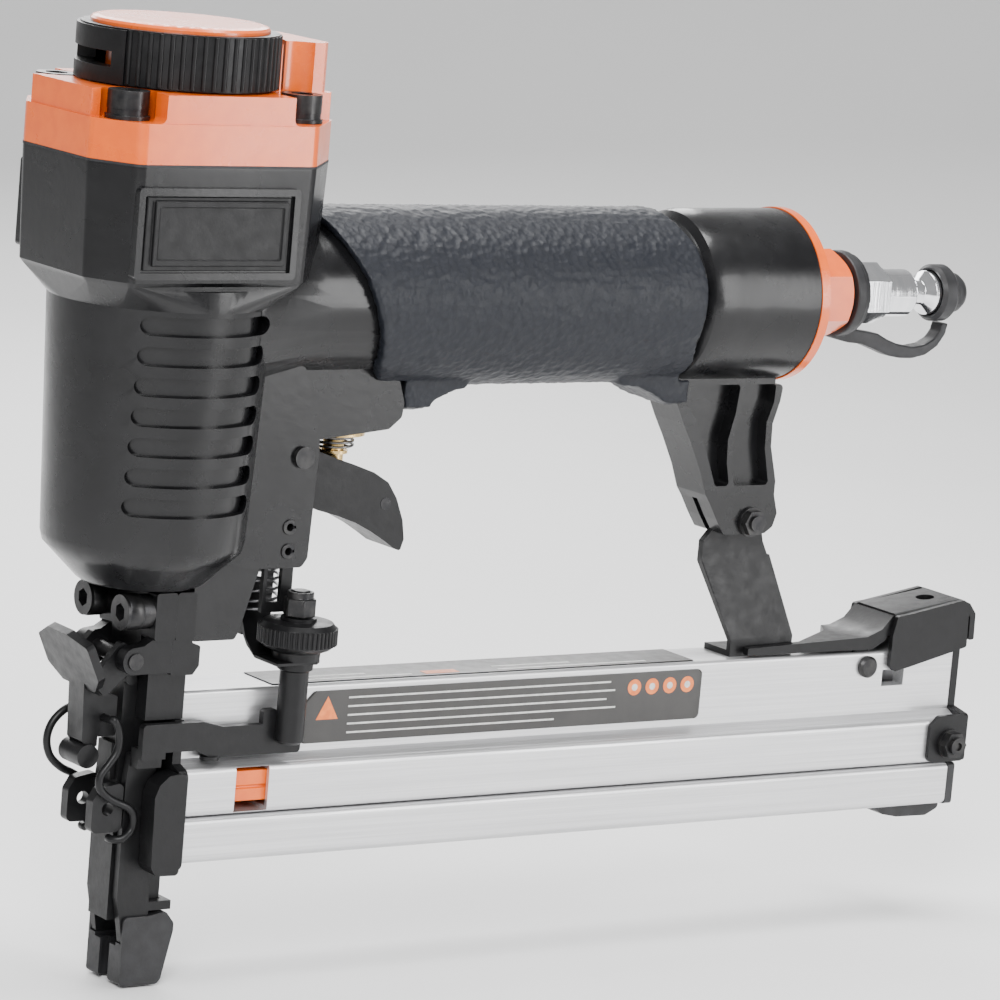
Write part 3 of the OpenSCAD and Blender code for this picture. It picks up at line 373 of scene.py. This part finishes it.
spring("return_spring", "safety_spring", 33.5, 0, 5.2, 0.41, 6, 0.45)
spring("stem_spring", "valve_spring", 52.3, 0, 4.7, 0.34, 3, 1.0)
spring("tail_spring", "latch_spring", 240, 0, 3.6, 0.44, 5, 0.65)
spring("valve_return_spring", "head_valve_spring", 0, 0, 13.2, 0.78, 4, 0.6)

# wire bail, round and smooth
near = [(-9.2, -8.8, 66.6), (-7.9, -8.8, 64.4), (-7.4, -8.8, 61.4), (-8, -8.8, 58.4), (-10.2, -8.8, 55.3), (-11.8, -8.8, 53.2), (-12.1, -8.8, 51),
        (-10.9, -8.8, 48.9), (-7.9, -8.8, 46.8), (-4.1, -8.8, 45.1), (-2.3, -8.8, 43.5), (-1.8, -8.8, 41.5), (-2.4, -8.8, 39), (-4.4, -8.8, 37.3)]
far = [(-9, 8.8, 66.4), (-12.6, 8.8, 65.4), (-15.8, 8.8, 62.4), (-17, 8.8, 58.4), (-15.8, 8.8, 54.2), (-12.6, 8.8, 51.2), (-9, 8.8, 49.4),
       (-5.4, 8.8, 47), (-3, 8.8, 44.6), (-2, 8.8, 42), (-2.4, 8.8, 39), (-4.4, 8.8, 37.3)]
path = [(-6.6, -5.4, 36.8), (-6.4, -7.4, 36.8)] + near[::-1] + [(-9, -6.4, 66.1), (-9, 0, 66), (-9, 6.4, 66.1)] + far + [(-6.4, 7.4, 36.8), (-6.6, 5.4, 36.8)]
V, F = tube(mm(catmull(path, 6)), 0.98 * MM, 12)
bail = mesh_object("wire_bail", V, F, "black_steel", "bail")
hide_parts("latch_bail")

# ------------------------------------------------------------ rubber grip: rounded, pebbled
g = nodes["handle_grip"]
r = g.modifiers.new("remesh", "REMESH")
r.mode = "VOXEL"
r.voxel_size = 0.00062
r.use_smooth_shade = True
s = g.modifiers.new("soft", "SMOOTH")
s.factor = 0.6
s.iterations = 6
tex = bpy.data.textures.new("pebble", "VORONOI")
tex.noise_scale = 0.0021
tex.distance_metric = "DISTANCE"
tex.noise_intensity = 1.0
d = g.modifiers.new("pebble", "DISPLACE")
d.texture = tex
d.texture_coords = "LOCAL"
d.strength = -0.00040
d.mid_level = 0.0

c = nodes["cap_strap"]
r = c.modifiers.new("remesh", "REMESH")
r.mode = "VOXEL"
r.voxel_size = 0.00032
r.use_smooth_shade = True
s = c.modifiers.new("soft", "SMOOTH")
s.factor = 0.5
s.iterations = 8

# ------------------------------------------------------------ knurling on the two nose screws
lo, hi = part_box("nose_screws")
for sy in (-1, 1):
    V, F = [], []
    K = 56
    prof = [(-9.2, 4.26), (-9.0, 4.42), (-5.6, 4.42), (-5.3, 4.26)]
    for x, rr in prof:
        for k in range(K * 2):
            q = 2 * math.pi * k / (K * 2)
            e = rr if k % 2 == 0 else rr - 0.16
            V.append((x * MM, (sy * 8.8 + e * math.cos(q)) * MM, (92.8 + e * math.sin(q)) * MM))
    n = K * 2
    for i in range(len(prof) - 1):
        for k in range(n):
            j = (k + 1) % n
            F.append((i * n + k, i * n + j, (i + 1) * n + j, (i + 1) * n + k))
    # inner wall closes the band
    base = len(V)
    for x in (-9.2, -5.3):
        for k in range(n):
            q = 2 * math.pi * k / n
            V.append((x * MM, (sy * 8.8 + 4.0 * math.cos(q)) * MM, (92.8 + 4.0 * math.sin(q)) * MM))
    for k in range(n):
        j = (k + 1) % n
        F.append((base + k, base + n + k, base + n + j, base + j))
        F.append((k, base + k, base + j, j))
        F.append((3 * n + k, 3 * n + j, base + n + j, base + n + k))
    mesh_object("knurl_%s" % ("near" if sy < 0 else "far"), V, F, "dark_fastener", "main")


# ------------------------------------------------------------ print on the labels: generic shapes only
def plate(name, pts, axis, at, th, mat, body="main"):
    """Thin closed plate from an outline; axis y gives (x, z) points at y, axis z gives (x, y) points at z."""
    n = len(pts)
    V = []
    for k in (0, 1):
        for a, b in pts:
            V.append((a * MM, (at + k * th) * MM, b * MM) if axis == "y" else (a * MM, b * MM, (at + k * th) * MM))
    F = [tuple(range(n)), tuple(range(2 * n - 1, n - 1, -1))]
    for i in range(n):
        j = (i + 1) % n
        F.append((i, n + i, n + j, j))
    return V, F


def join(parts):
    V, F = [], []
    for v, f in parts:
        b = len(V)
        V += v
        F += [tuple(i + b for i in q) for q in f]
    return V, F


def disc(cx, cz, r, n=32):
    return [(cx + r * math.cos(2 * math.pi * k / n), cz + r * math.sin(2 * math.pi * k / n)) for k in range(n)]


llo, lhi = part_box("magazine_label")
ly = llo.y / MM
lt = lhi.z / MM
org, pale = [], []
# warning triangle, left end of the side panel
org.append(plate("", [(48.2, 63.4), (54.6, 63.4), (51.4, 69.2)], "y", ly - 0.06, 0.06, ""))
for k in range(4):
    org.append(plate("", disc(144.6 + 5.6 * k, 66.8, 2.1), "y", ly - 0.06, 0.06, ""))
    pale.append(plate("", disc(144.6 + 5.6 * k, 66.8, 0.9, 20), "y", ly - 0.12, 0.06, ""))
org.append(plate("", [(82, -5.2), (92, -5.2), (92, -2.2), (82, -2.2)], "z", lt, 0.06, ""))
for row, (a, b) in enumerate([(57.5, 137), (57.5, 138.5), (57.5, 136), (57.5, 139), (57.5, 120)]):
    z = 68.6 - 2.2 * row
    pale.append(plate("", [(a, z - 0.22), (b, z - 0.22), (b, z + 0.22), (a, z + 0.22)], "y", ly - 0.06, 0.06, ""))
for y0, a, b in ((-4.6, 44, 78), (-1.6, 44, 66), (-4.6, 104, 150), (-1.6, 104, 128)):
    pale.append(plate("", [(a, y0 - 0.5), (b, y0 - 0.5), (b, y0 + 0.5), (a, y0 + 0.5)], "z", lt, 0.06, ""))
V, F = join(org)
mesh_object("label_orange_marks", V, F, "print_orange", "main", smooth=False)
V, F = join(pale)
mesh_object("label_pale_marks", V, F, "print_pale", "main", smooth=False)

# ------------------------------------------------------------ stage
V, F = [], []
R0 = 1.3
cove = [(-2.5, -0.0006), (0.9, -0.0006)]
cove += [(0.9 + R0 * math.sin(t * math.pi / 24), -0.0006 + R0 * (1 - math.cos(t * math.pi / 24))) for t in range(1, 13)]
cove += [(0.9 + R0, 3.6)]
ca, sa = math.cos(math.radians(35.4826)), math.sin(math.radians(35.4826))
for q, z in cove:
    for w in (-3.5, 3.5):
        V.append((q * sa + w * ca, q * ca - w * sa, z))
for i in range(len(cove) - 1):
    F.append((2 * i, 2 * i + 1, 2 * i + 3, 2 * i + 2))
me = bpy.data.meshes.new("floor")
me.from_pydata(V, [], F)
for p in me.polygons:
    p.use_smooth = True
floor = bpy.data.objects.new("floor", me)
bpy.context.scene.collection.objects.link(floor)
fm = Mat("floor").set(Specular_IOR_Level=0.2)
fm.colour(fm.noise((6, 6, 6), 2), (0.86, 0.86, 0.86), (0.88, 0.88, 0.88))
fm.set(Roughness=0.75)
me.materials.append(fm.m)

world = bpy.data.worlds.new("studio")
bpy.context.scene.world = world
world.use_nodes = True
world.node_tree.nodes["Background"].inputs[0].default_value = (1, 1, 1, 1)
world.node_tree.nodes["Background"].inputs[1].default_value = 0.42


def area(name, loc, target, size, size_y, power, col=(1, 1, 1)):
    l = bpy.data.lights.new(name, "AREA")
    l.shape = "RECTANGLE"
    l.size, l.size_y = size, size_y
    l.energy = power
    l.color = col
    o = bpy.data.objects.new(name, l)
    o.location = loc
    o.rotation_euler = (Vector(target) - Vector(loc)).to_track_quat("-Z", "Y").to_euler()
    bpy.context.scene.collection.objects.link(o)
    return o


T = (0.10, 0.0, 0.12)
area("key", (-0.55, -0.75, 0.75), T, 0.42, 0.7, 16)
area("fill", (0.75, -0.95, 0.35), T, 0.35, 0.8, 9)
area("top", (0.15, 0.05, 1.0), T, 0.8, 0.35, 15)
area("back", (0.4, 0.9, 0.6), T, 0.8, 0.5, 8)

# ------------------------------------------------------------ camera at the photographed angle
az, el, roll = math.radians(35.4826), math.radians(9.7935), math.radians(5.0124)
tgt = Vector((0.10344826, 0.0, 0.115))
back = Vector((-math.sin(az) * math.cos(el), -math.cos(az) * math.cos(el), math.sin(el)))
fwd = -back
D = 1.255012
r0 = Vector((math.cos(az), -math.sin(az), 0.0))
u0 = r0.cross(fwd)
right = r0 * math.cos(roll) + u0 * math.sin(roll)
up = -r0 * math.sin(roll) + u0 * math.cos(roll)
C = tgt + back * D
cd = bpy.data.cameras.new("photo_view")
cd.lens = 180.72
cd.sensor_width = 36.0
cd.sensor_fit = "HORIZONTAL"
cd.clip_start = 0.05
cd.clip_end = 50.0
cam = bpy.data.objects.new("photo_view", cd)
bpy.context.scene.collection.objects.link(cam)
cam.matrix_world = Matrix(((right.x, up.x, back.x, C.x), (right.y, up.y, back.y, C.y), (right.z, up.z, back.z, C.z), (0, 0, 0, 1)))
bpy.context.scene.camera = cam
